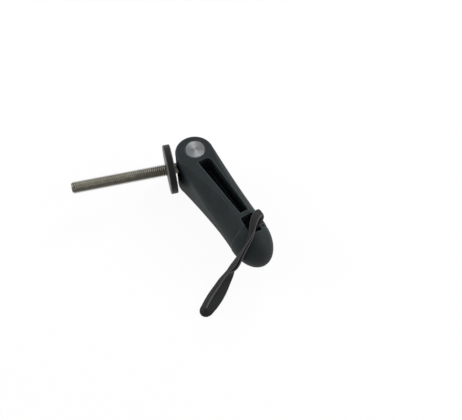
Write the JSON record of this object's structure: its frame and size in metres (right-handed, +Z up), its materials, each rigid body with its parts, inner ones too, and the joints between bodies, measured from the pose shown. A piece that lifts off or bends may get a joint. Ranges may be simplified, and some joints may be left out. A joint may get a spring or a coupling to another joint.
{
  "type": "cam lever",
  "caption": "Quick clamp cam lever: moulded lever turning on a cross barrel, threaded stud, thick washer, and a flat rubber band hitched to its thumb end.",
  "frame": {"origin": "on the barrel's axis, in the plane of the flank that the part lies on", "axes": "+Z up along the barrel's axis, -X along the stud towards its free end"},
  "size_m": [0.0897, 0.09, 0.0311],
  "materials": {
    "lever_plastic": "matt",
    "barrel_steel": "turned",
    "stud_steel": "rolled thread",
    "washer_black": "satin",
    "band_rubber": "matt"
  },
  "bodies": {
    "clamp": {"barrel": "barrel_steel", "stud": "stud_steel"},
    "lever": {"lever": "lever_plastic", "rubber_band": "band_rubber"},
    "washer": {"washer": "washer_black"}
  },
  "joints": [
    {"name": "lever_pivot", "type": "hinge", "parent": "clamp", "child": "lever", "pos_m": [0, 0, 0.01375], "axis": [0, 0, 1], "range_deg": [-18, 72]},
    {"name": "washer_slide", "type": "slide", "parent": "clamp", "child": "washer", "axis": [-1, 0, 0], "range_m": [-0.0006, 0.04]}
  ]
}
